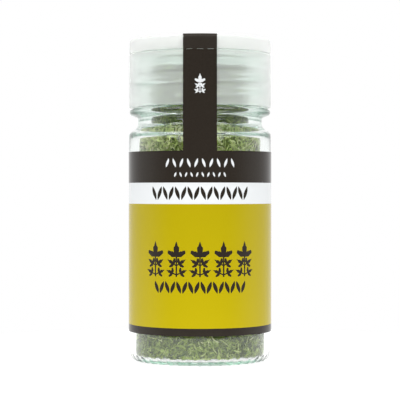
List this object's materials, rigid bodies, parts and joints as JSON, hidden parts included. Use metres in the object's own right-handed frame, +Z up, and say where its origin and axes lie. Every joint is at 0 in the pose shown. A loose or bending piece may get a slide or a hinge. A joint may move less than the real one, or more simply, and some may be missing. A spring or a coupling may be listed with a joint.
{
  "type": "glass spice jar of dried parsley",
  "caption": "Small round glass jar filled with dried parsley flakes, with a wraparound label, a frosted flip-top sifter cap and a seal strip over the cap.",
  "frame": {"origin": "on the jar's axis, in the plane that its base ring stands on", "axes": "+Z up along the jar's axis; -Y is the front, where the seal strip climbs over the cap; +Y is the back, with the lid's hinge"},
  "size_m": [0.0454, 0.0454, 0.1013],
  "materials": {
    "clear_glass": "clear flint glass with a faint green tint, fire-polished",
    "frosted_plastic": "frosted translucent polypropylene, smooth outside",
    "printed_label": "semi-gloss varnished paper, printed in mustard yellow, white and dark brown bands",
    "dark_strip": "semi-gloss varnished paper, dark brown",
    "dried_parsley": "dry matt leaf flakes in olive to dark green"
  },
  "bodies": {
    "jar": {"glass_jar": "clear_glass", "parsley_fill": "dried_parsley", "cap_body": "frosted_plastic", "label": "printed_label"},
    "lid": {"flip_lid": "frosted_plastic", "seal_tab": "dark_strip"}
  },
  "joints": [
    {"name": "lid_hinge", "type": "hinge", "parent": "jar", "child": "lid", "pos_m": [0, 0.0227, 0.0964], "axis": [-1, 0, 0], "range_deg": [0, 120]}
  ]
}
